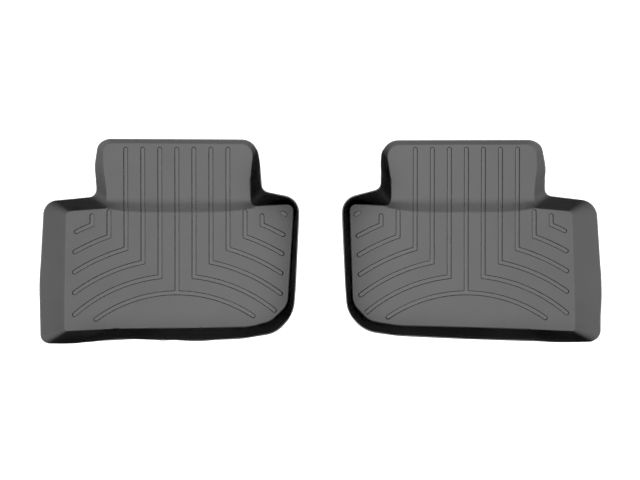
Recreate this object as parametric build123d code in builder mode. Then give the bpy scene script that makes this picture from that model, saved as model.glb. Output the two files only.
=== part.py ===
"""Rear floor liner set: two moulded trays, each one a three-layer sheet with raised channel ribs.

The frame: +Z up, +Y towards the front of the vehicle, +X towards its right side. The origin is under the
middle of the set, on the surface that the liners lie on.

Each liner is described by u, the distance from the vehicle's centre line, and y. One function makes the
space that lies above a given depth in the sheet, and a layer is the difference of two such spaces.
"""

from math import acos, sqrt, tan
import os

from build123d import *

# The sheet, in millimetres. Depths are measured from the surface that shoes touch.
TOP_SKIN = 0.6
CORE = 2.0
GRIP_BACKING = 0.6
SHEET = TOP_SKIN + CORE + GRIP_BACKING
SIDE_SHIFT = 0.8  # how far a wall moves outward, per millimetre of depth

# Heights above the upper surface of the pan's floor
WALL_TOP = 84.0  # where the untrimmed walls end
STEP_HEIGHT = 14.0
TONGUE_FRONT_HEIGHT = 28.5
STEP_BEND_RADIUS = 14.0
RISER_OVERLAPS = (8.0, 20.0)  # how far the riser runs into the inboard and the outboard wall

# Places along y
STEP_FOOT = 80.0
STEP_HEAD = 101.0
FRONT = 275.0
REAR = -300.0
OUTER_SIDE = 800.0

# Channel ribs: straight ones run from front to back, and each turns onto an arc about one centre
RIB_PITCH = 42.0
RIB_WIDTH = 10.0
RIB_HEIGHT = 2.5
RIB_PAIRS = 5
ARC_CENTRE_Y = -467.0
INNER_ARC_RADIUS = 340.0
RIB_FRONT_ON_TONGUE = 232.5
RIB_FRONT_BESIDE_STEP = (78.5, 68.5)  # the last two ribs on each side start behind the step
TONGUE_RIB_PAIRS = RIB_PAIRS - len(RIB_FRONT_BESIDE_STEP)
INNER_ARC_ENDS = (161.5, 560.0)
RIB_INBOARD_ENDS = (109.0, 94.0, 92.5, 90.0, 87.5)
RIB_OUTBOARD_ENDS = (613.0, 613.0, 613.0, 612.0, 608.0)

# Small oval boss in the front inboard corner of the pan
BOSS_PLACE = (91.0, 68.5)
BOSS_LENGTH = 18.5
BOSS_WIDTH = 11.0
BOSS_HEIGHT = 1.8
BOSS_TILT = 27.0

# Rim heights above the floor: across the liner (u, height), along it (y, height) and on the diagonal that
# runs outward and to the front (distance from the origin, height)
RIM_ACROSS = ((OUTER_SIDE, 32.5), (672.0, 33.0), (430.0, 88.0), (0.0, 88.0))
RIM_ALONG = (
    (FRONT, 26.0), (228.0, 31.0), (160.0, 62.0), (52.0, 77.0), (-110.0, 77.0), (-212.0, 60.0), (REAR, 55.0)
)
RIM_DIAGONAL = (
    (OUTER_SIDE, 30.0), (560.0, 30.0), (440.0, 32.5), (400.0, 55.0), (330.0, 88.0), (REAR, 88.0)
)
RIM_BEND_RADIUS = 160.0

# Corners of each liner, clockwise from the front outboard corner of the tongue. Each row gives the foot
# of the wall (u, y), the rim above it (u, y), the rim's height, and the bend radius at foot and at rim.
# Where the foot turns much less than the rim, both radii are long, so the wall does not fan out of one point.
LEFT_CORNERS = (
    ((499.0, 193.0), (546.2, 255.4), 28.5, 8.0, 32.0),
    ((502.5, 160.0), (559.3, 181.4), 30.5, 1500.0, 930.0),
    ((509.0, 82.5), (551.1, 111.4), 31.0, 24.0, 19.0),
    ((627.5, 74.0), (684.5, 99.5), 31.0, 12.0, 34.0),
    ((631.5, -120.0), (696.5, -112.9), 33.5, 1200.0, 1200.0),
    ((632.0, -221.5), (692.1, -256.9), 33.5, 8.0, 21.0),
    ((507.0, -215.5), (520.5, -236.6), 56.0, 800.0, 800.0),
    ((297.0, -213.5), (309.5, -248.2), 58.0, 800.0, 800.0),
    ((174.0, -211.0), (184.5, -239.4), 58.0, 150.0, 300.0),
    ((122.0, -196.0), (105.2, -226.3), 60.0, 60.0, 67.0),
    ((80.3, -155.5), (65.8, -178.4), 67.0, 45.0, 94.0),
    ((64.2, 94.0), (51.8, 102.6), 69.5, 17.0, 40.0),
    ((179.0, 86.0), (142.8, 125.8), 67.0, 12.0, 18.0),
    ((184.0, 150.0), (149.8, 164.6), 53.5, 40.0, 108.0),
    ((190.0, 193.0), (152.0, 252.6), 28.5, 14.0, 35.0),
)
RIGHT_CORNERS = (
    ((497.0, 192.5), (541.0, 251.9), 28.5, 8.0, 34.0),
    ((500.6, 158.0), (557.6, 177.5), 30.5, 1500.0, 930.0),
    ((507.0, 83.5), (552.9, 113.9), 31.0, 24.0, 17.5),
    ((620.0, 73.7), (682.4, 98.9), 31.0, 12.0, 42.0),
    ((627.0, -144.0), (697.6, -132.8), 33.5, 1200.0, 1200.0),
    ((628.0, -221.7), (690.8, -250.7), 33.5, 8.0, 27.0),
    ((516.5, -216.8), (545.5, -245.4), 56.0, 800.0, 800.0),
    ((356.0, -211.6), (375.5, -241.7), 58.0, 800.0, 800.0),
    ((196.0, -208.0), (184.5, -232.7), 58.0, 150.0, 300.0),
    ((119.5, -196.3), (104.7, -221.3), 60.0, 60.0, 76.0),
    ((78.8, -152.0), (65.1, -174.5), 67.0, 45.0, 78.0),
    ((70.2, 94.5), (52.0, 102.0), 69.5, 17.0, 40.0),
    ((181.0, 86.5), (147.5, 131.9), 67.0, 12.0, 18.0),
    ((183.5, 150.0), (150.0, 170.4), 53.5, 40.0, 104.0),
    ((187.5, 192.5), (145.1, 250.4), 28.5, 14.0, 35.0),
)

# Rows of the two corners where the tongue's side walls meet the pan's front wall
OUTBOARD_ROOT = 2
INBOARD_ROOT = 12

# Each liner: its name, the sign of x on its side, its corners, and u of its middle rib
LINERS = (
    ("left", -1, LEFT_CORNERS, 354.5),
    ("right", 1, RIGHT_CORNERS, 359.5),
)


def wall_ends(corners):
    """Foot and untrimmed top of the wall at each corner, on the surface that shoes touch."""
    feet = []
    tops = []
    for foot, rim, height, foot_radius, rim_radius in corners:
        start = Vector(*foot)
        run = Vector(*rim) - start
        run *= 1 - SIDE_SHIFT * SHEET / run.length
        rise = WALL_TOP / (height + SHEET)
        feet.append((start, foot_radius))
        tops.append((start + run * rise, foot_radius + (rim_radius - foot_radius) * rise))
    return feet, tops


def bends(outline, distance):
    """Start, direction and end of each corner's arc, on the clockwise outline grown by a distance."""
    arcs = []
    for index, (point, radius) in enumerate(outline):
        before = (point - outline[index - 1][0]).normalized()
        after = (outline[(index + 1) % len(outline)][0] - point).normalized()
        middle = (before + after).normalized()
        hollow = before.cross(after).Z > 0
        bend = radius - distance if hollow else radius + distance
        corner = point + Vector(-middle.Y, middle.X) * (distance / middle.dot(after))
        reach = bend * tan(acos(middle.dot(after)))
        arcs.append((corner - before * reach, before, corner + after * reach))
    return arcs


def outline_face(side, outline, distance, height):
    """The outline, grown by a distance, as a flat face at a height."""
    arcs = [[Vector(side * v.X, v.Y) for v in arc] for arc in bends(outline, distance)]
    with BuildSketch(Plane.XY.offset(height)) as face:
        with BuildLine():
            for index, (start, direction, end) in enumerate(arcs):
                Line(arcs[index - 1][2], start)
                TangentArc(start, end, tangent=direction)
        make_face()
    return face.sketch


def rib_lines(side, middle):
    """Centre lines of the ribs: straight at the front, then an arc towards the side of the pan."""
    end = RIB_WIDTH / 2
    centre = Vector(side * middle, ARC_CENTRE_Y)

    def on_arc(radius, u):
        across = side * u - centre.X
        return Vector(side * u, centre.Y + sqrt(radius**2 - across**2))

    def arc(radius, first, last):
        halfway = ((first - centre).normalized() + (last - centre).normalized()).normalized()
        return ThreePointArc(first, centre + halfway * radius, last)

    inboard, outboard = INNER_ARC_ENDS
    front = Vector(centre.X, RIB_FRONT_ON_TONGUE - end)
    lines = [
        Wire([Line(front, centre + Vector(0, INNER_ARC_RADIUS)).edge()]),
        Wire([arc(INNER_ARC_RADIUS, on_arc(INNER_ARC_RADIUS, inboard + end),
                  on_arc(INNER_ARC_RADIUS, outboard - end)).edge()]),
    ]
    for outward, ends in ((-1, RIB_INBOARD_ENDS), (1, RIB_OUTBOARD_ENDS)):
        for count in range(1, RIB_PAIRS + 1):
            radius = INNER_ARC_RADIUS + count * RIB_PITCH
            u = middle + outward * count * RIB_PITCH
            front_y = RIB_FRONT_ON_TONGUE
            if count > TONGUE_RIB_PAIRS:
                front_y = RIB_FRONT_BESIDE_STEP[count - TONGUE_RIB_PAIRS - 1]
            elbow = on_arc(radius, u)
            tip = on_arc(radius, ends[count - 1] - outward * end)
            straight = Line(Vector(side * u, front_y - end), elbow)
            lines.append(Wire([straight.edge(), arc(radius, elbow, tip).edge()]))
    return lines


def floor_profile(lift):
    """Side view of all that lies under the pan's floor, the step and the tongue, raised by lift."""
    base = SHEET + lift
    tongue_slope = (TONGUE_FRONT_HEIGHT - STEP_HEIGHT) / (FRONT - STEP_HEAD)
    with BuildSketch(Plane.YZ) as profile:
        with BuildLine():
            FilletPolyline(
                (STEP_FOOT, base),
                (STEP_HEAD, base + STEP_HEIGHT),
                (FRONT + SHEET, base + TONGUE_FRONT_HEIGHT + SHEET * tongue_slope),
                radius=STEP_BEND_RADIUS - lift,
            )
            Polyline(
                (FRONT + SHEET, base + TONGUE_FRONT_HEIGHT + SHEET * tongue_slope),
                (FRONT + SHEET, -WALL_TOP),
                (REAR, -WALL_TOP),
                (REAR, base),
                (STEP_FOOT, base),
            )
        make_face()
    return profile.sketch


def step_block(side, corners, depth):
    """All that lies under the riser and the tongue; beside the tongue the pan's floor stays flat."""
    inboard = corners[INBOARD_ROOT][0][0] - RISER_OVERLAPS[0]
    outboard = corners[OUTBOARD_ROOT][0][0] + RISER_OVERLAPS[1]
    with BuildPart() as block:
        extrude(floor_profile(-depth), amount=OUTER_SIDE, both=True)
        with BuildSketch():
            for start, end in ((0.0, inboard), (outboard, OUTER_SIDE)):
                with Locations((side * (start + end) / 2, (REAR + STEP_HEAD) / 2)):
                    Rectangle(end - start, STEP_HEAD - REAR)
        extrude(amount=2 * WALL_TOP, both=True, mode=Mode.SUBTRACT)
    return block.part


def raised_marks(side, middle, depth):
    """The ribs and the boss, as they stand up into the space above this depth."""
    with BuildPart() as marks:
        with BuildSketch(Plane.XY.offset(-SHEET)):
            for line in rib_lines(side, middle):
                SlotArc(line, RIB_WIDTH - 2 * SIDE_SHIFT * depth)
        extrude(amount=WALL_TOP)
        extrude(floor_profile(RIB_HEIGHT - depth), amount=OUTER_SIDE, both=True, mode=Mode.INTERSECT)
        with BuildSketch(Plane.XY.offset(-SHEET)):
            u, y = BOSS_PLACE
            with Locations((side * u, y)):
                boss_width = BOSS_WIDTH - 2 * SIDE_SHIFT * depth
                SlotOverall(BOSS_LENGTH - BOSS_WIDTH + boss_width, boss_width, rotation=side * BOSS_TILT)
        extrude(amount=2 * SHEET + BOSS_HEIGHT - depth)
    return marks.part


def space_above(side, corners, middle, depth):
    """All that lies inside the liner's walls and above this depth in its sheet."""
    feet, tops = wall_ends(corners)
    shift = SIDE_SHIFT * depth
    bottom = outline_face(side, feet, shift, SHEET - depth)
    top = outline_face(side, tops, shift, SHEET + WALL_TOP - depth)
    with BuildPart() as space:
        loft([bottom, top], ruled=True)
        add(step_block(side, corners, depth), mode=Mode.SUBTRACT)
        add(raised_marks(side, middle, depth), mode=Mode.SUBTRACT)
    return space.part


def trim_to_rim(side):
    """Cuts the open part down to the rim's height along three directions."""
    diagonal = Plane((0, 0, 0), x_dir=(side, 1, 0), z_dir=(1, -side, 0))
    for plane, direction, heights in (
        (Plane.XZ, side, RIM_ACROSS),
        (Plane.YZ, 1, RIM_ALONG),
        (diagonal, 1, RIM_DIAGONAL),
    ):
        with BuildSketch(plane) as below_rim:
            with BuildLine():
                corner_points = [(direction * place, SHEET + height) for place, height in heights]
                FilletPolyline(corner_points, radius=RIM_BEND_RADIUS)
                first, last = corner_points[0], corner_points[-1]
                Polyline(last, (last[0], -SHEET), (first[0], -SHEET), first)
            make_face()
        extrude(below_rim.sketch, amount=2 * OUTER_SIDE, both=True, mode=Mode.INTERSECT)


LAYERS = (
    ("top_skin", 0.0, TOP_SKIN),
    ("core", TOP_SKIN, TOP_SKIN + CORE),
    ("grip_backing", TOP_SKIN + CORE, SHEET),
)

os.makedirs("parts", exist_ok=True)

for liner_name, side, corners, middle in LINERS:
    for layer_name, upper_depth, lower_depth in LAYERS:
        lower_space = space_above(side, corners, middle, lower_depth)
        upper_space = space_above(side, corners, middle, upper_depth)
        with BuildPart() as layer:
            add(lower_space)
            add(upper_space, mode=Mode.SUBTRACT)
            trim_to_rim(side)
        layer.part.label = f"{liner_name}_{layer_name}"
        export_step(layer.part, f"parts/{layer.part.label}.step")
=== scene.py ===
"""Looks of the rear floor liner set: two moulded trays, each one a sheet of three bonded layers.

Lengths are in millimetres until a mesh is made, and heights are measured from the upper surface of the
pan's floor. The stage, the light and the camera are in metres. A liner is described by u, the distance
from the set's centre line, and y, as in the CAD model.
"""
from math import atan2, cos, pi, radians, sin, sqrt

import bpy
import numpy as np
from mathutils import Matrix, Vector
from mathutils.geometry import delaunay_2d_cdt


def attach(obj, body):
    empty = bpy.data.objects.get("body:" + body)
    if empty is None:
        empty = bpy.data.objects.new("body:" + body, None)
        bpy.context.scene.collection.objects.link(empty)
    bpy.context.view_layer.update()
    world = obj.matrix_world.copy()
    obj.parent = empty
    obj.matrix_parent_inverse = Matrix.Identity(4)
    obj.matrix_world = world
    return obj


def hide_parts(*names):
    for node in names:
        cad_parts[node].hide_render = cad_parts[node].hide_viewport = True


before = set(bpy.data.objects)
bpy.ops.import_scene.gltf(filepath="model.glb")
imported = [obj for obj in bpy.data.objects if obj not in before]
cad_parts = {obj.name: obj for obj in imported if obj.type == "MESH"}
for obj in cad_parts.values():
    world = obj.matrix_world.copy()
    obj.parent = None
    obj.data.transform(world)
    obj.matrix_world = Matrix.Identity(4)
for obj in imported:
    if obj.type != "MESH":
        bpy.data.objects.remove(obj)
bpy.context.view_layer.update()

MM = 0.001

# ---------------------------------------------------------------- the sheet and the shape, as in the CAD
TOP_SKIN, CORE, GRIP_BACKING = 0.6, 2.0, 0.6
SHEET = TOP_SKIN + CORE + GRIP_BACKING
SIDE_SHIFT = 0.8      # how far a wall moves outward, per millimetre of depth
WALL_TOP = 84.0       # where the untrimmed walls end
FRONT, REAR, OUTER_SIDE = 275.0, -300.0, 800.0
STEP_HEAD = 101.0
STEP_HEIGHT = 14.0
TONGUE_FRONT_HEIGHT = 28.5
TONGUE_SLOPE = (TONGUE_FRONT_HEIGHT - STEP_HEIGHT) / (FRONT - STEP_HEAD)
STEP_FOOT_MIDDLE = 71.0   # the riser's foot bows towards the rear between the tongue's sides
STEP_FOOT_SIDES = 81.5
RISER_OVERLAPS = (10.0, 21.5)   # how far the riser runs into the inboard and the outboard wall
RISER_FADE = 12.0     # width over which its ends run out
RISER_FOOT_SOFTNESS, RISER_HEAD_SOFTNESS = 1.2, 4.0   # height over which each bend of the riser is rounded
TONGUE_FADE = 10.0    # stretch in front of the riser over which the whole width rises to the tongue

RIB_PITCH = 42.0
RIB_HEIGHT = 2.5
RIB_FOOT, RIB_SHOULDER = 5.8, 3.7   # distance from the rib's middle where its side starts and ends
RIB_END = 5.0         # from a rib's tip back to the centre of its round end
RIB_NARROWING = 2.3   # how far the rib's side moves in from the top of the sheet to its underside
NARROWING_REACH = 7.0   # how far beyond the rib's foot that is felt
ARC_CENTRE_Y = -467.0
INNER_ARC_RADIUS = 340.0
RIB_FRONT_ON_TONGUE = 232.5
RIB_FRONT_BESIDE_STEP = (78.5, 68.5)   # the last two ribs on each side start behind the step
TONGUE_RIB_PAIRS = 3
INNER_ARC_ENDS = (161.5, 560.0)
RIB_INBOARD_ENDS = (109.0, 94.0, 92.5, 90.0, 87.5)
RIB_OUTBOARD_ENDS = (613.0, 613.0, 613.0, 612.0, 608.0)

BOSS_PLACE = (91.0, 68.5)
BOSS_HALF_LENGTH = 3.75
BOSS_TILT = radians(27.0)
BOSS_HEIGHT = 1.8
BOSS_FOOT, BOSS_SHOULDER = 5.6, 4.4
BOSS_FLATTENING = 0.6   # share of the boss's height that is lost on the underside

# Rim heights above the floor: across the liner, along it and on the diagonal outward and to the front
RIM_ACROSS = ((OUTER_SIDE, 32.5), (672.0, 33.0), (430.0, 88.0), (0.0, 88.0))
RIM_ALONG = (
    (FRONT, 26.0), (228.0, 31.0), (160.0, 62.0), (52.0, 77.0), (-110.0, 77.0), (-212.0, 60.0), (REAR, 55.0)
)
RIM_DIAGONAL = (
    (OUTER_SIDE, 30.0), (560.0, 30.0), (440.0, 32.5), (400.0, 55.0), (330.0, 88.0), (REAR, 88.0)
)

# Foot of the wall (u, y), rim above it (u, y), rim height, and the bend radius at foot and at rim.
# Where the foot turns much less than the rim, both radii are long, so the wall does not fan out of one point.
LEFT_CORNERS = (
    ((499.0, 193.0), (546.2, 255.4), 28.5, 8.0, 32.0),
    ((502.5, 160.0), (559.3, 181.4), 30.5, 1500.0, 930.0),
    ((509.0, 82.5), (551.1, 111.4), 31.0, 24.0, 19.0),
    ((627.5, 74.0), (684.5, 99.5), 31.0, 12.0, 34.0),
    ((631.5, -120.0), (696.5, -112.9), 33.5, 1200.0, 1200.0),
    ((632.0, -221.5), (692.1, -256.9), 33.5, 8.0, 21.0),
    ((507.0, -215.5), (520.5, -236.6), 56.0, 800.0, 800.0),
    ((297.0, -213.5), (309.5, -248.2), 58.0, 800.0, 800.0),
    ((174.0, -211.0), (184.5, -239.4), 58.0, 150.0, 300.0),
    ((122.0, -196.0), (105.2, -226.3), 60.0, 60.0, 67.0),
    ((80.3, -155.5), (65.8, -178.4), 67.0, 45.0, 94.0),
    ((64.2, 94.0), (51.8, 102.6), 69.5, 17.0, 40.0),
    ((179.0, 86.0), (142.8, 125.8), 67.0, 12.0, 18.0),
    ((184.0, 150.0), (149.8, 164.6), 53.5, 40.0, 108.0),
    ((190.0, 193.0), (152.0, 252.6), 28.5, 14.0, 35.0),
)
RIGHT_CORNERS = (
    ((497.0, 192.5), (541.0, 251.9), 28.5, 8.0, 34.0),
    ((500.6, 158.0), (557.6, 177.5), 30.5, 1500.0, 930.0),
    ((507.0, 83.5), (552.9, 113.9), 31.0, 24.0, 17.5),
    ((620.0, 73.7), (682.4, 98.9), 31.0, 12.0, 42.0),
    ((627.0, -144.0), (697.6, -132.8), 33.5, 1200.0, 1200.0),
    ((628.0, -221.7), (690.8, -250.7), 33.5, 8.0, 27.0),
    ((516.5, -216.8), (545.5, -245.4), 56.0, 800.0, 800.0),
    ((356.0, -211.6), (375.5, -241.7), 58.0, 800.0, 800.0),
    ((196.0, -208.0), (184.5, -232.7), 58.0, 150.0, 300.0),
    ((119.5, -196.3), (104.7, -221.3), 60.0, 60.0, 76.0),
    ((78.8, -152.0), (65.1, -174.5), 67.0, 45.0, 78.0),
    ((70.2, 94.5), (52.0, 102.0), 69.5, 17.0, 40.0),
    ((181.0, 86.5), (147.5, 131.9), 67.0, 12.0, 18.0),
    ((183.5, 150.0), (150.0, 170.4), 53.5, 40.0, 104.0),
    ((187.5, 192.5), (145.1, 250.4), 28.5, 14.0, 35.0),
)
OUTBOARD_ROOT, INBOARD_ROOT = 2, 12   # rows where the tongue's side walls meet the pan's front wall

# Name, sign of x, corners and u of the middle rib
LINERS = (("left", -1, LEFT_CORNERS, 354.5), ("right", 1, RIGHT_CORNERS, 359.5))

# ---------------------------------------------------------------- how finely the meshes are made
WALL_SPACING = 3.5
ARC_DENSITY, LEAST_ARC_STEPS = 1.2, 6   # bends of the wall have more columns than straight stretches
RIB_SPACING = 4.0
CAP_POINTS, BOSS_CAP_POINTS = 11, 13    # points round the half circle at a rib's and at the boss's end
FILL_SPACING = 9.0
FILL_ROW_RATIO = 0.866   # rows of a triangular grid lie this much closer than its points
OUTLINE_ROUNDS, FLOOR_ROUNDS, RIM_ROUNDS = 3, 2, 8   # how often a value is averaged along the wall
FLOOR_SEARCHES, RIM_SEARCHES = 60, 40   # steps in finding where the wall meets the floor and the rim
FLOOR_PROBE = 2.0     # distance over which the floor's tilt beside the wall is measured
BEND_SHARE = 0.42     # largest share of a wall's length up its slope that the bend at its foot takes
FOOT_BEND = 8.0       # radius where the floor turns up into a wall
FOOT_STEPS = 6
WALL_STEPS = 8
HOLD = 1.4            # width of the narrow strip that keeps a flat area flat up to its bend
RIM_BAND = 1.6        # the last row of the wall, which shoes and hands rub
EDGE_ROUND = 0.5      # how much the cut edge of the sheet is rounded
CREASE_ANGLE = radians(40.0)
RIB_LOOPS = (6.8, 5.8, 5.4, 5.05, 4.7, 4.3, 3.7, 2.6)
BOSS_LOOPS = (6.4, 5.6, 5.3, 5.0, 4.7, 4.4, 3.6)
RISER_ROW_SPACING = 4.0
RISER_MARGIN = 20.0   # how far the rows of points on the riser run on past its ends
# Rows of points behind and in front of the riser's foot and of its head
FOOT_ROWS = (-4.0, -2.4, -1.2, 0.0, 1.2, 2.4, 4.0)
HEAD_ROWS = (-13.0, -9.0, -6.0, -3.0, 0.0, 3.0, 6.0, 9.0, 13.0)
ROW_CLEARANCE, FILL_CLEARANCE, BOSS_CLEARANCE = 1.6, 2.5, 3.0   # from the border, from a row, from the boss
BORDER_SHARE, RIB_SHARE = 0.5, 0.45   # the same for fill points at border and ribs, in fill spacings
WEAR_SPREAD = 0.6     # square millimetres over which rubbed edges fade


def smooth_step(value):
    """Rises from 0 to 1 with level ends as value does."""
    value = np.clip(value, 0.0, 1.0)
    return value * value * (3.0 - 2.0 * value)


def soft_min(a, b, width):
    """The lower of two surfaces, with their meeting rounded over a difference of width."""
    share = np.clip(0.5 + 0.5 * (b - a) / width, 0.0, 1.0)
    return b * (1.0 - share) + a * share - width * share * (1.0 - share)


def soft_max(a, b, width):
    """The higher of two surfaces, rounded in the same way."""
    return -soft_min(-a, -b, width)


# ---------------------------------------------------------------- walls
def wall_ends(corners):
    """Foot and untrimmed top of the wall at each corner, with the bend radius there."""
    feet, tops = [], []
    for foot, rim, height, foot_radius, rim_radius in corners:
        start = Vector(foot)
        run = Vector(rim) - start
        run *= 1.0 - SIDE_SHIFT * SHEET / run.length
        rise = WALL_TOP / (height + SHEET)
        feet.append((start, foot_radius))
        tops.append((start + run * rise, foot_radius + (rim_radius - foot_radius) * rise))
    return feet, tops


def bends(outline):
    """For each corner: where its arc starts, its middle control point, its end, and that point's weight."""
    found = []
    for index, (point, radius) in enumerate(outline):
        before = (point - outline[index - 1][0]).normalized()
        after = (outline[(index + 1) % len(outline)][0] - point).normalized()
        half = (before + after).normalized().dot(after)
        reach = radius * sqrt(max(0.0, 1.0 - half * half)) / half
        found.append((point - before * reach, point, point + after * reach, half))
    return found


def arc_points(bend, count):
    """Points on the circle arc of a bend, both ends included."""
    start, corner, end, weight = bend
    made = []
    for step in range(count + 1):
        t = step / count
        a, b, c = (1 - t) ** 2, 2 * t * (1 - t) * weight, t * t
        made.append((start * a + corner * b + end * c) / (a + b + c))
    return made


def matched_loops(corners):
    """Foot and top outlines of the wall, sampled so that points with the same number face each other."""
    feet, tops = (bends(outline) for outline in wall_ends(corners))
    foot_points, top_points = [], []
    for index in range(len(feet)):
        arc_length = max((b[2] - b[0]).length for b in (feet[index], tops[index]))
        count = max(LEAST_ARC_STEPS, round(ARC_DENSITY * arc_length / WALL_SPACING))
        foot_points += arc_points(feet[index], count)
        top_points += arc_points(tops[index], count)
        after = (index + 1) % len(feet)
        gaps = [(b[after][0] - b[index][2]) for b in (feet, tops)]
        count = max(1, round(max(gap.length for gap in gaps) / WALL_SPACING))
        for step in range(1, count):
            foot_points.append(feet[index][2] + gaps[0] * (step / count))
            top_points.append(tops[index][2] + gaps[1] * (step / count))
    return np.array(foot_points), np.array(top_points)


def smooth_loop(values, rounds):
    """Averages a closed loop of values with its neighbours."""
    for _ in range(rounds):
        values = 0.25 * np.roll(values, 1, 0) + 0.5 * values + 0.25 * np.roll(values, -1, 0)
    return values


def rim_height(points):
    """Height that the rim is trimmed to at points (u, y)."""
    places = (points[:, 0], points[:, 1], (points[:, 0] + points[:, 1]) / sqrt(2.0))
    tables = (RIM_ACROSS, RIM_ALONG, RIM_DIAGONAL)
    return np.min([np.interp(p, *np.array(t[::-1]).T) for p, t in zip(places, tables)], axis=0)


# ---------------------------------------------------------------- floor, ribs and boss
class Liner:
    """One liner's places, in u and y."""

    def __init__(self, name, side, corners, middle):
        self.name = name
        self.side = side
        self.corners = corners
        self.middle = middle
        self.riser = (corners[INBOARD_ROOT][0][0] - RISER_OVERLAPS[0],
                      corners[OUTBOARD_ROOT][0][0] + RISER_OVERLAPS[1])

    def step_foot(self, u):
        """y of the line where the riser starts."""
        inboard, outboard = self.riser
        across = np.clip((u - (inboard + outboard) / 2) / ((outboard - inboard) / 2), -1.0, 1.0)
        return STEP_FOOT_MIDDLE + (STEP_FOOT_SIDES - STEP_FOOT_MIDDLE) * across ** 4

    def floor(self, u, y):
        """Height of the pan's floor, the riser and the tongue, without ribs."""
        foot = self.step_foot(u)
        riser = STEP_HEIGHT * (y - foot) / (STEP_HEAD - foot)
        tongue = STEP_HEIGHT + TONGUE_SLOPE * (y - STEP_HEAD)
        height = soft_max(soft_min(riser, tongue, RISER_HEAD_SOFTNESS), 0.0, RISER_FOOT_SOFTNESS)
        inboard, outboard = self.riser
        run_out = 1.0 - smooth_step(np.maximum(inboard - u, u - outboard) / RISER_FADE)
        return height * np.maximum(run_out, smooth_step((y - STEP_HEAD) / TONGUE_FADE))

    def rib_specs(self):
        """Offset, outward sign, radius, front end and tip angle of each rib that turns onto an arc."""
        for outward, ends in ((-1, RIB_INBOARD_ENDS), (1, RIB_OUTBOARD_ENDS)):
            for count in range(1, len(ends) + 1):
                radius = INNER_ARC_RADIUS + count * RIB_PITCH
                front = RIB_FRONT_ON_TONGUE
                if count > TONGUE_RIB_PAIRS:
                    front = RIB_FRONT_BESIDE_STEP[count - TONGUE_RIB_PAIRS - 1]
                tip = self.angle_at(radius, ends[count - 1] - outward * RIB_END)
                yield count * RIB_PITCH, outward, radius, front - RIB_END, abs(tip)

    def angle_at(self, radius, u):
        """Angle from +Y, about the arcs' centre, of the point at u on an arc."""
        across = u - self.middle
        return atan2(across, sqrt(radius * radius - across * across))


def elbow_y(radius, offset, shift):
    """y of the mitre between a straight rib and its arc, where both are shifted sideways by shift."""
    return ARC_CENTRE_Y + sqrt((radius - offset) * (radius + offset + 2.0 * shift))


def rib_outline(liner, spec, shift):
    """Closed loop at a distance shift from the middle line of a rib with an elbow."""
    offset, outward, radius, front, tip = spec
    u = liner.middle + outward * offset
    points = []
    for angle in np.linspace(0.0, pi, CAP_POINTS):
        points.append((u + outward * shift * cos(angle), front + shift * sin(angle)))
    lengths = round((front - elbow_y(radius, offset, 0.0)) / RIB_SPACING)
    low = elbow_y(radius, offset, -shift)
    for y in np.linspace(front, low, lengths + 1)[1:]:
        points.append((u - outward * shift, y))
    turns = max(2, round(radius * (tip - atan2(offset, radius)) / RIB_SPACING))
    start = atan2(offset - shift, low - ARC_CENTRE_Y)
    for angle in np.linspace(start, tip, turns + 1)[1:]:
        points.append(polar(liner, outward, radius - shift, angle))
    points += tip_cap(liner, outward, radius, tip, shift)
    high = elbow_y(radius, offset, shift)
    start = atan2(offset + shift, high - ARC_CENTRE_Y)
    for angle in np.linspace(tip, start, turns + 1):
        points.append(polar(liner, outward, radius + shift, angle))
    for y in np.linspace(high, front, lengths + 1)[1:-1]:
        points.append((u + outward * shift, y))
    return points


def polar(liner, outward, radius, angle):
    """Point (u, y) at an angle from +Y about the centre of the arcs, on the outward side."""
    return (liner.middle + outward * radius * sin(angle), ARC_CENTRE_Y + radius * cos(angle))


def tip_cap(liner, outward, radius, tip, shift):
    """Half circle round the end of an arc, from its inner to its outer side, ends left out."""
    centre_u, centre_y = polar(liner, outward, radius, tip)
    made = []
    for turn in np.linspace(0.0, pi, CAP_POINTS)[1:-1]:
        heading = tip + pi - turn
        made.append((centre_u + outward * shift * sin(heading), centre_y + shift * cos(heading)))
    return made


def middle_outline(liner, shift):
    """Closed loop round the middle rib and the inner arc that it stands on, which form a T."""
    front = RIB_FRONT_ON_TONGUE - RIB_END
    tips = [abs(liner.angle_at(INNER_ARC_RADIUS, u)) for u in
            (INNER_ARC_ENDS[0] + RIB_END, INNER_ARC_ENDS[1] - RIB_END)]
    outer = INNER_ARC_RADIUS + shift
    inner = INNER_ARC_RADIUS - shift
    root = sqrt(outer * outer - shift * shift)
    lengths = round((front - ARC_CENTRE_Y - INNER_ARC_RADIUS) / RIB_SPACING)
    points = []
    for angle in np.linspace(0.0, pi, CAP_POINTS):
        points.append((liner.middle + shift * cos(angle), front + shift * sin(angle)))
    for y in np.linspace(front, ARC_CENTRE_Y + root, lengths + 1)[1:]:
        points.append((liner.middle - shift, y))
    start = atan2(shift, root)
    counts = [round(INNER_ARC_RADIUS * tip / RIB_SPACING) for tip in tips]
    for angle in np.linspace(start, tips[0], counts[0] + 1)[1:]:
        points.append(polar(liner, -1, outer, angle))
    points += tip_cap(liner, -1, INNER_ARC_RADIUS, tips[0], shift)[::-1]
    for angle in np.linspace(-tips[0], tips[1], sum(counts) + 1):
        points.append(polar(liner, 1, inner, angle))
    points += tip_cap(liner, 1, INNER_ARC_RADIUS, tips[1], shift)
    for angle in np.linspace(tips[1], start, counts[1] + 1):
        points.append(polar(liner, 1, outer, angle))
    for y in np.linspace(ARC_CENTRE_Y + root, front, lengths + 1)[1:-1]:
        points.append((liner.middle + shift, y))
    return points


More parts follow.
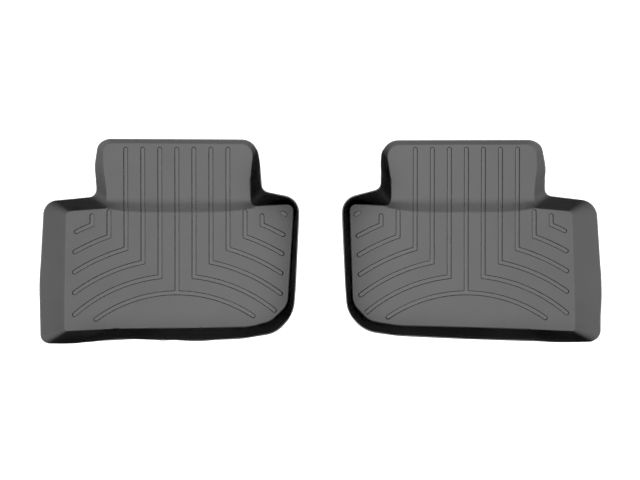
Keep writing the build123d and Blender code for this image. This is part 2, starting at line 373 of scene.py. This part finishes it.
def boss_outline(shift):
    """Closed loop at a distance shift from the middle line of the oval boss."""
    points = []
    for end, first in ((1, -pi / 2), (-1, pi / 2)):
        for angle in np.linspace(first, first + pi, BOSS_CAP_POINTS):
            along_boss = end * BOSS_HALF_LENGTH + shift * cos(angle)
            across = shift * sin(angle)
            points.append((BOSS_PLACE[0] + along_boss * cos(BOSS_TILT) - across * sin(BOSS_TILT),
                           BOSS_PLACE[1] + along_boss * sin(BOSS_TILT) + across * cos(BOSS_TILT)))
    return points


def nearest_rib(liner, points):
    """Distance from each point to the nearest rib's middle line, and the direction away from it."""
    best = np.full(len(points), 1e6)
    away = np.zeros((len(points), 2))

    def offer(distance, direction, where):
        better = where & (distance < best)
        best[better] = distance[better]
        away[better] = direction[better]

    def offer_point(centre, where):
        step = points - np.array(centre)
        distance = np.hypot(*step.T)
        offer(distance, step / np.maximum(distance, 1e-9)[:, None], where)

    def offer_straight(u, low, front):
        step = points[:, 0] - u
        direction = np.stack([np.sign(step), np.zeros(len(points))], 1)
        offer(np.abs(step), direction, (points[:, 1] >= low) & (points[:, 1] <= front))
        offer_point((u, front), points[:, 1] > front)

    from_centre = points - np.array([liner.middle, ARC_CENTRE_Y])
    reach = np.hypot(*from_centre.T)
    radial = from_centre / reach[:, None]
    angle = np.arctan2(from_centre[:, 0], from_centre[:, 1])

    def offer_arc(outward, radius, tip, where):
        inside = where & (outward * angle <= tip)
        direction = radial * np.sign(reach - radius)[:, None]
        offer(np.abs(reach - radius), direction, inside)
        offer_point(polar(liner, outward, radius, tip), where & (outward * angle > tip))

    offer_straight(liner.middle, ARC_CENTRE_Y + INNER_ARC_RADIUS, RIB_FRONT_ON_TONGUE - RIB_END)
    for outward, u in ((-1, INNER_ARC_ENDS[0] + RIB_END), (1, INNER_ARC_ENDS[1] - RIB_END)):
        tip = abs(liner.angle_at(INNER_ARC_RADIUS, u))
        offer_arc(outward, INNER_ARC_RADIUS, tip, outward * angle >= 0.0)
    for offset, outward, radius, front, tip in liner.rib_specs():
        u = liner.middle + outward * offset
        sideways = outward * (points[:, 0] - u)
        room = np.maximum((radius - offset) * (radius + offset + 2.0 * sideways), 0.0)
        mitre = ARC_CENTRE_Y + np.sqrt(room)
        straight = points[:, 1] >= mitre
        step = np.stack([np.sign(points[:, 0] - u), np.zeros(len(points))], 1)
        offer(np.abs(sideways), step, straight & (points[:, 1] <= front))
        offer_point((u, front), straight & (points[:, 1] > front))
        offer_arc(outward, radius, tip, ~straight & (outward * angle > 0.0))
    return best, away


def boss_distance(points):
    """Distance from each point to the middle line of the oval boss."""
    step = points - np.array(BOSS_PLACE)
    lengthwise = step[:, 0] * cos(BOSS_TILT) + step[:, 1] * sin(BOSS_TILT)
    crosswise = -step[:, 0] * sin(BOSS_TILT) + step[:, 1] * cos(BOSS_TILT)
    beyond = np.maximum(np.abs(lengthwise) - BOSS_HALF_LENGTH, 0.0)
    return np.hypot(beyond, crosswise)


# ---------------------------------------------------------------- the mesh of one liner
def inside_loop(points, loop):
    """Which points lie inside a closed loop, and how far each is from it."""
    start, end = loop, np.roll(loop, -1, 0)
    inside = np.zeros(len(points), bool)
    nearest = np.full(len(points), 1e9)
    for a, b in zip(start, end):
        crossing = (a[1] > points[:, 1]) != (b[1] > points[:, 1])
        if crossing.any():
            at = a[0] + (points[:, 1] - a[1]) * (b[0] - a[0]) / (b[1] - a[1] if b[1] != a[1] else 1e-12)
            inside ^= crossing & (points[:, 0] < at)
        side = b - a
        share = np.clip(((points - a) @ side) / max(side @ side, 1e-12), 0.0, 1.0)
        nearest = np.minimum(nearest, np.hypot(*(points - a - share[:, None] * side).T))
    return inside, nearest


def wall_columns(liner):
    """The wall as columns from the floor to the rim: points (u, y, z) and the unit normal out of the sheet.

    Each column lies in one upright plane. It starts with a short flat strip on the floor, turns up through
    the bend at the wall's foot and runs straight to the rim.
    """
    feet, tops = matched_loops(liner.corners)
    feet, tops = smooth_loop(feet, OUTLINE_ROUNDS), smooth_loop(tops, OUTLINE_ROUNDS)
    run = tops - feet
    length = np.hypot(*run.T)
    heading = run / length[:, None]
    slope = np.arctan2(WALL_TOP, length)

    share = np.zeros(len(feet))
    for _ in range(FLOOR_SEARCHES):
        place = feet + share[:, None] * run
        share = 0.5 * share + 0.5 * liner.floor(*place.T) / WALL_TOP
    share = smooth_loop(share, FLOOR_ROUNDS)
    foot = feet + share[:, None] * run
    foot_z = share * WALL_TOP

    low, high = share.copy(), np.ones(len(feet))
    for _ in range(RIM_SEARCHES):
        half = (low + high) / 2
        over = half * WALL_TOP > rim_height(feet + half[:, None] * run) + SHEET * np.cos(slope)
        high = np.where(over, half, high)
        low = np.where(over, low, half)
    rim_length = (smooth_loop(low, RIM_ROUNDS) - share) * WALL_TOP / np.sin(slope)

    floor_tilt = (liner.floor(*foot.T) - liner.floor(*(foot - FLOOR_PROBE * heading).T)) / FLOOR_PROBE
    floor_angle = smooth_loop(np.arctan(floor_tilt), FLOOR_ROUNDS)
    turn = slope - floor_angle
    reach = np.minimum(FOOT_BEND * np.tan(turn / 2), BEND_SHARE * rim_length)
    back = -np.stack([np.cos(floor_angle), np.sin(floor_angle)], 1)
    up = np.stack([np.cos(slope), np.sin(slope)], 1)
    weight = np.cos(turn / 2)

    rows = [back * (reach + HOLD)[:, None]]
    for step in range(FOOT_STEPS + 1):
        t = step / FOOT_STEPS
        a, c = (1 - t) ** 2, t * t
        b = 2 * t * (1 - t) * weight
        rows.append((back * reach[:, None] * a + up * reach[:, None] * c) / (a + b + c)[:, None])
    for step in range(1, WALL_STEPS + 1):
        t = step / WALL_STEPS
        rows.append(up * (reach + (rim_length - reach - RIM_BAND) * t)[:, None])
    rows.append(up * rim_length[:, None])
    planar = np.stack(rows)

    tilt = np.empty(planar.shape[:2])
    tilt[0] = floor_angle
    for step in range(FOOT_STEPS + 1):
        tilt[step + 1] = floor_angle + turn * step / FOOT_STEPS
    tilt[FOOT_STEPS + 2:] = slope
    points = np.empty(planar.shape[:2] + (3,))
    points[..., :2] = foot + planar[..., :1] * heading
    points[..., 2] = foot_z + planar[..., 1]
    normals = np.empty_like(points)
    normals[..., :2] = np.sin(tilt)[..., None] * heading
    normals[..., 2] = -np.cos(tilt)
    return points, normals


def floor_mesh(liner, border):
    """Triangles of the floor inside the border loop, which keeps its numbers 0 to len(border) - 1."""
    loops = [border]
    for shift in RIB_LOOPS:
        loops.append(middle_outline(liner, shift))
        for spec in liner.rib_specs():
            loops.append(rib_outline(liner, spec, shift))
    for shift in BOSS_LOOPS:
        loops.append(boss_outline(shift))

    points, edges = [], []
    for loop in loops:
        first = len(points)
        points += [tuple(p) for p in loop]
        edges += [(first + i, first + (i + 1) % len(loop)) for i in range(len(loop))]

    inboard, outboard = liner.riser
    across = np.arange(inboard - RISER_MARGIN, outboard + RISER_MARGIN, RISER_ROW_SPACING)
    foot = liner.step_foot(across)
    rows = [foot + shift for shift in FOOT_ROWS]
    for shift in HEAD_ROWS:
        rows.append(np.full(len(across), STEP_HEAD + shift))
    for row in rows:
        line = np.stack([across, row], 1)
        inside, distance = inside_loop(line, border)
        keep = inside & (distance > ROW_CLEARANCE)
        for index in np.flatnonzero(keep):
            if index + 1 < len(line) and keep[index + 1]:
                edges.append((len(points), len(points) + 1))
            points.append(tuple(line[index]))

    low, high = border.min(0), border.max(0)
    fill = []
    for number, y in enumerate(np.arange(low[1], high[1], FILL_SPACING * FILL_ROW_RATIO)):
        shift = FILL_SPACING / 2 * (number % 2)
        fill += [(u, y) for u in np.arange(low[0] + shift, high[0], FILL_SPACING)]
    fill = np.array(fill)
    inside, distance = inside_loop(fill, border)
    from_rib, _ = nearest_rib(liner, fill)
    keep = inside & (distance > BORDER_SHARE * FILL_SPACING)
    keep &= from_rib > RIB_LOOPS[0] + RIB_SHARE * FILL_SPACING
    keep &= boss_distance(fill) > BOSS_LOOPS[0] + BOSS_CLEARANCE
    for row in rows:
        keep &= np.abs(fill[:, 1] - np.interp(fill[:, 0], across, row)) > FILL_CLEARANCE
    points += [tuple(p) for p in fill[keep]]

    out, _, faces, origins, _, _ = delaunay_2d_cdt([Vector(p) for p in points], edges, [], 0, 1e-5)
    out = np.array([tuple(p) for p in out])
    faces = np.array(faces)
    inside, _ = inside_loop(out[faces].mean(1), border)
    faces = faces[inside]
    order = np.full(len(out), -1)
    for index, origin in enumerate(origins):
        for source in origin:
            if source < len(border):
                order[index] = source
    rest = np.flatnonzero((order < 0) & np.isin(np.arange(len(out)), faces))
    order[rest] = len(border) + np.arange(len(rest))
    places = np.concatenate([border, out[rest]])
    return places, order[faces]


def floor_heights(liner, places, depth):
    """Floor points at a depth in the sheet: ribs are narrower below, as the sheet keeps its thickness."""
    distance, away = nearest_rib(liner, places)
    share = depth / SHEET
    near = smooth_step(distance / RIB_SHOULDER)
    far = 1.0 - smooth_step((distance - RIB_FOOT) / NARROWING_REACH)
    pull = RIB_NARROWING * share * near * far
    moved = places - away * pull[:, None]
    rib = RIB_HEIGHT * smooth_step((RIB_FOOT - distance) / (RIB_FOOT - RIB_SHOULDER))
    boss = BOSS_HEIGHT * smooth_step((BOSS_FOOT - boss_distance(places)) / (BOSS_FOOT - BOSS_SHOULDER))
    height = liner.floor(*moved.T) + rib + boss * (1.0 - BOSS_FLATTENING * share) - depth
    return np.column_stack([moved, height])


def rib_edge_wear(liner, places):
    """How much each floor point is rubbed: most along the upper edges of ribs and of the boss."""
    from_rib = nearest_rib(liner, places)[0] - RIB_SHOULDER
    from_boss = boss_distance(places) - BOSS_SHOULDER
    return np.exp(-from_rib ** 2 / WEAR_SPREAD) + np.exp(-from_boss ** 2 / WEAR_SPREAD)


def layer_edge(upper, lower):
    """Profile of a layer's cut edge: (distance back from the cut, depth), from its top to its bottom."""
    angles = (0.0, pi / 6, pi / 3, pi / 2)
    profile = []
    if upper == 0.0:
        profile += [(EDGE_ROUND * (1 - sin(a)), EDGE_ROUND * (1 - cos(a))) for a in angles]
    else:
        profile.append((0.0, upper))
    if lower == SHEET:
        profile += [(EDGE_ROUND * (1 - cos(a)), SHEET - EDGE_ROUND * (1 - sin(a))) for a in angles]
    else:
        profile.append((0.0, lower))
    return profile


def make_layer(liner, layer, upper, lower, columns, normals, places, triangles):
    """The closed mesh of one layer, between two depths in the sheet."""
    rows, count, _ = columns.shape
    up_wall = columns[-1] - columns[-2]
    up_wall /= np.linalg.norm(up_wall, axis=1)[:, None]
    vertices, faces, worn = [], [], []
    rims = []
    for depth, flip in ((upper, False), (lower, True)):
        start = sum(len(block) for block in vertices)
        wall = columns + normals * depth
        edge_back = EDGE_ROUND if depth in (0.0, SHEET) else 0.0
        wall[-1] -= up_wall * edge_back
        floor = floor_heights(liner, places, depth)
        floor[:count] = wall[0]
        vertices += [floor, wall[1:].reshape(-1, 3)]
        rubbed_walls = np.zeros((rows - 1, count))
        rubbed_walls[-1] = 1.0
        worn += [rib_edge_wear(liner, places), rubbed_walls.ravel()]
        faces += [tuple(start + t) if not flip else tuple(start + t[::-1]) for t in triangles]
        grid = start + np.arange(count)
        rim_start = start + len(floor)
        levels = [grid] + [rim_start + row * count + np.arange(count) for row in range(rows - 1)]
        for below, above in zip(levels, levels[1:]):
            quads = np.stack([below, above, np.roll(above, -1), np.roll(below, -1)], 1)
            faces += [tuple(q) if flip else tuple(q[::-1]) for q in quads]
        rims.append(levels[-1])
    loops = [rims[0]]
    for back, depth in layer_edge(upper, lower)[1:-1]:
        loops.append(sum(len(block) for block in vertices) + np.arange(count))
        vertices.append(columns[-1] + normals[-1] * depth - up_wall * back)
        worn.append(np.ones(count))
    loops.append(rims[1])
    for before, after in zip(loops, loops[1:]):
        quads = np.stack([before, after, np.roll(after, -1), np.roll(before, -1)], 1)
        faces += [tuple(q[::-1]) for q in quads]
    vertices = np.concatenate(vertices)
    vertices[:, 0] *= liner.side
    vertices[:, 2] += SHEET
    if liner.side < 0:
        faces = [face[::-1] for face in faces]
    mesh = bpy.data.meshes.new(f"{liner.name}_{layer}_surface")
    mesh.from_pydata((vertices * MM).tolist(), [], [tuple(int(i) for i in face) for face in faces])
    wear = mesh.attributes.new("wear", "FLOAT", "POINT")
    wear.data.foreach_set("value", np.concatenate(worn).astype(np.float32))
    piece = bpy.data.objects.new(f"{liner.name}_{layer}_sheet", mesh)
    bpy.context.scene.collection.objects.link(piece)
    mesh.polygons.foreach_set("use_smooth", np.ones(len(mesh.polygons), bool))
    mesh.set_sharp_from_angle(angle=CREASE_ANGLE)
    return piece


def build_liner(name, side, corners, middle, materials):
    """The three layers of one liner, each standing in for its CAD solid."""
    liner = Liner(name, side, corners, middle)
    columns, normals = wall_columns(liner)
    places, triangles = floor_mesh(liner, columns[0, :, :2].copy())
    depth = 0.0
    for layer, thickness in (("top_skin", TOP_SKIN), ("core", CORE), ("grip_backing", GRIP_BACKING)):
        piece = make_layer(liner, layer, depth, depth + thickness, columns, normals, places, triangles)
        piece.data.materials.append(materials[layer])
        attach(piece, f"{name}_liner")
        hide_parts(f"{name}_{layer}")
        depth = round(depth + thickness, 6)


# ---------------------------------------------------------------- materials
SHEEN = 1.0           # specular level of every layer, twice the shader's usual 0.5
NOISE_RANGE = (0.3, 0.7)   # where most values of a noise lie


def new_material(name):
    material = bpy.data.materials.new(name)
    material.use_nodes = True
    tree = material.node_tree
    return material, tree, tree.nodes["Principled BSDF"]


def add_node(tree, kind, inputs=(), **settings):
    """Adds a node; inputs are (socket, value or output to link)."""
    node = tree.nodes.new(kind)
    for name, value in settings.items():
        setattr(node, name, value)
    for socket, value in inputs:
        if isinstance(value, bpy.types.NodeSocket):
            tree.links.new(value, node.inputs[socket])
        else:
            node.inputs[socket].default_value = value
    return node


def noise(tree, place, scale, detail=3.0):
    inputs = [("Vector", place), ("Scale", scale), ("Detail", detail)]
    return add_node(tree, "ShaderNodeTexNoise", inputs).outputs["Fac"]


def remap(tree, value, low, high):
    """Turns the middle of a noise's range into low to high."""
    inputs = [("Value", value), ("From Min", NOISE_RANGE[0]), ("From Max", NOISE_RANGE[1]),
              ("To Min", low), ("To Max", high)]
    return add_node(tree, "ShaderNodeMapRange", inputs).outputs["Result"]


def polymer(name, dark, light, worn, roughness, grain_size, grain_depth, waviness):
    """Moulded or rolled polymer with a pebbled grain, cloudy colour, slow waves and rubbed edges."""
    material, tree, shader = new_material(name)
    shader.inputs["Specular IOR Level"].default_value = SHEEN
    place = add_node(tree, "ShaderNodeTexCoord").outputs["Object"]
    wear = add_node(tree, "ShaderNodeAttribute", attribute_name="wear").outputs["Fac"]

    cloud = noise(tree, place, 11.0, 5.0)
    speckle = noise(tree, place, 900.0, 2.0)
    shade = add_node(tree, "ShaderNodeMath", [(0, cloud), (1, speckle)], operation="ADD").outputs[0]
    half = add_node(tree, "ShaderNodeMath", [(0, shade), (1, 0.5)], operation="MULTIPLY").outputs[0]
    colour = add_node(tree, "ShaderNodeMix", data_type="RGBA")
    tree.links.new(remap(tree, half, 0.0, 1.0), colour.inputs["Factor"])
    colour.inputs["A"].default_value = (*dark, 1.0)
    colour.inputs["B"].default_value = (*light, 1.0)
    rubbed = add_node(tree, "ShaderNodeMix", data_type="RGBA")
    patchy = add_node(tree, "ShaderNodeMath", [(0, wear), (1, remap(tree, cloud, 0.35, 0.9))],
                      operation="MULTIPLY").outputs[0]
    tree.links.new(patchy, rubbed.inputs["Factor"])
    tree.links.new(colour.outputs["Result"], rubbed.inputs["A"])
    rubbed.inputs["B"].default_value = (*worn, 1.0)
    tree.links.new(rubbed.outputs["Result"], shader.inputs["Base Color"])

    matte = remap(tree, half, roughness - 0.04, roughness + 0.04)
    polish = add_node(tree, "ShaderNodeMath", [(0, patchy), (1, -0.1), (2, matte)], operation="MULTIPLY_ADD")
    tree.links.new(polish.outputs[0], shader.inputs["Roughness"])

    pebbles = add_node(tree, "ShaderNodeTexVoronoi", [("Vector", place), ("Scale", 1000.0 / grain_size)],
                       feature="SMOOTH_F1").outputs["Distance"]
    grain = add_node(tree, "ShaderNodeBump", [("Height", pebbles), ("Distance", grain_depth * MM),
                                              ("Strength", 1.0)], invert=True)
    stretched = add_node(tree, "ShaderNodeMapping", [("Vector", place), ("Scale", (1.0, 0.3, 1.0))])
    waves = noise(tree, stretched.outputs["Vector"], 16.0, 1.0)
    uneven = add_node(tree, "ShaderNodeBump", [("Height", waves), ("Distance", waviness * MM),
                                               ("Strength", 1.0), ("Normal", grain.outputs["Normal"])])
    tree.links.new(uneven.outputs["Normal"], shader.inputs["Normal"])
    return material


def finishes():
    """The material of each layer. Colours are dark, light and worn; grain sizes are in millimetres."""
    return {
        "top_skin": polymer("top_skin", (0.009, 0.009, 0.0092), (0.013, 0.013, 0.0132), (0.045, 0.045, 0.046),
                            roughness=0.6, grain_size=1.1, grain_depth=0.09, waviness=0.5),
        "core": polymer("core", (0.012, 0.012, 0.0125), (0.02, 0.02, 0.0205), (0.035, 0.035, 0.036),
                        roughness=0.58, grain_size=0.5, grain_depth=0.04, waviness=0.5),
        "grip_backing": polymer("grip_backing", (0.013, 0.013, 0.0125), (0.021, 0.0205, 0.02),
                                (0.03, 0.03, 0.03), roughness=0.7, grain_size=2.2, grain_depth=0.3,
                                waviness=0.5),
    }


# ---------------------------------------------------------------- stage, light and camera
SOFTBOX = (2.4, 2.2)
SOFTBOX_HEIGHT = 0.8
SOFTBOX_RADIANCE = 3.0
BLACK_LEVEL = 0.042   # scene brightness that comes out black, as in a contrasty print
AMBIENT = 0.1
VIEW_WIDTH = 1.578
VIEW_HEIGHT = 0.03    # height at which the view is that wide
CAMERA_DISTANCE = 16.0
CAMERA_PLACE = (-0.0014, 0.0035)
SENSOR_WIDTH = 36.0
GROUND_SIZE, GROUND_HEIGHT = 30.0, -0.0004
GROUND_GREY, GROUND_GLOW = 0.6, 0.8


def build_stage():
    """A pale ground that glows a little, an even sky and one large softbox overhead."""
    bpy.ops.mesh.primitive_plane_add(size=GROUND_SIZE, location=(0.0, 0.0, GROUND_HEIGHT))
    ground = bpy.context.object
    ground.name = "pale_floor"
    material, _, shader = new_material("pale_floor")
    shader.inputs["Base Color"].default_value = (GROUND_GREY, GROUND_GREY, GROUND_GREY, 1.0)
    shader.inputs["Roughness"].default_value = 0.9
    shader.inputs["Emission Color"].default_value = (1.0, 1.0, 1.0, 1.0)
    shader.inputs["Emission Strength"].default_value = GROUND_GLOW
    ground.data.materials.append(material)

    world = bpy.data.worlds.new("studio")
    bpy.context.scene.world = world
    world.use_nodes = True
    world.node_tree.nodes["Background"].inputs["Color"].default_value = (1.0, 1.0, 1.0, 1.0)
    world.node_tree.nodes["Background"].inputs["Strength"].default_value = AMBIENT

    light = bpy.data.lights.new("overhead_softbox", "AREA")
    light.shape = "RECTANGLE"
    light.size, light.size_y = SOFTBOX
    light.energy = SOFTBOX_RADIANCE * pi * light.size * light.size_y
    softbox = bpy.data.objects.new("overhead_softbox", light)
    softbox.location = (0.0, 0.0, SOFTBOX_HEIGHT)
    softbox.visible_camera = False
    bpy.context.scene.collection.objects.link(softbox)


def build_camera():
    """Looks straight down, from far away, at the whole set."""
    data = bpy.data.cameras.new("camera")
    data.sensor_width = SENSOR_WIDTH
    data.lens = SENSOR_WIDTH * CAMERA_DISTANCE / VIEW_WIDTH
    data.clip_end = 100.0
    camera = bpy.data.objects.new("camera", data)
    camera.location = (*CAMERA_PLACE, VIEW_HEIGHT + CAMERA_DISTANCE)
    bpy.context.scene.collection.objects.link(camera)
    bpy.context.scene.camera = camera


view = bpy.context.scene.view_settings
view.view_transform = "Standard"
view.use_curve_mapping = True
view.curve_mapping.black_level = (BLACK_LEVEL, BLACK_LEVEL, BLACK_LEVEL)
build_camera()
build_stage()
materials = finishes()
for liner_row in LINERS:
    build_liner(*liner_row, materials)
